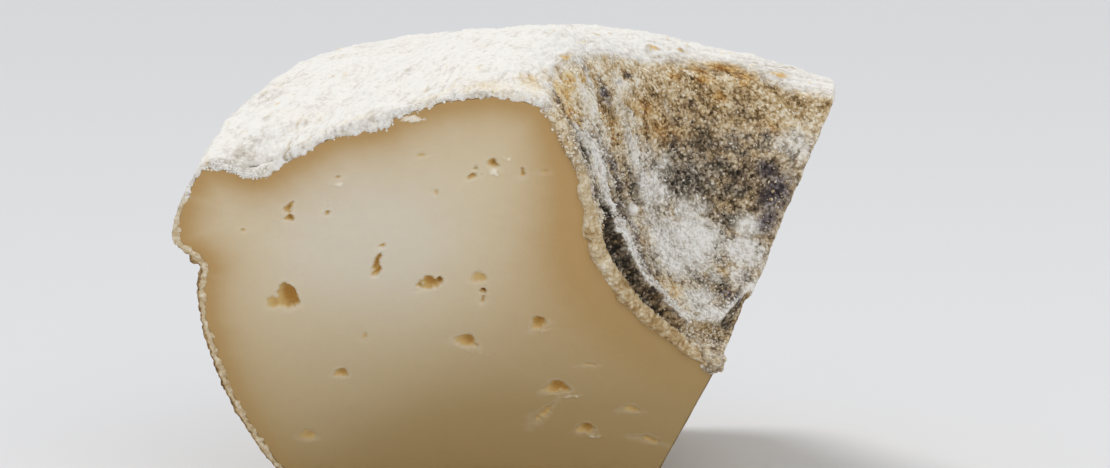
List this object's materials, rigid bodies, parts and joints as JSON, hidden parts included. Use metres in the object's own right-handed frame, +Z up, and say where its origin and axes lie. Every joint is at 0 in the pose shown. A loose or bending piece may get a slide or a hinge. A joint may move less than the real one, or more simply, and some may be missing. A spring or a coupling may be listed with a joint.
{
  "type": "cheese wedge",
  "caption": "Quarter wedge of a small round aged cheese: pale paste with small eyes, a bloomy rind, a crater in each flat side and a raised band round the waist.",
  "frame": {"origin": "centre of the bottom of the wedge's bounding box, on the surface that it rests on", "axes": "+Z up, +Y away from the picture's viewer, +X to the viewer's right; the first cut face looks towards -Y and the upper crater opens upwards towards +X and -Y"},
  "size_m": [0.0944, 0.1004, 0.0663],
  "materials": {
    "paste": "smooth ivory paste, satin where the knife has passed, tan next to the rind",
    "rind": "dry white bloom over cream rind, finely wrinkled, with tan flecks",
    "mould": "dry granular crust mottled white, grey, brown and ochre"
  },
  "bodies": {
    "root": {"cheese_wedge": "paste"}
  },
  "joints": []
}
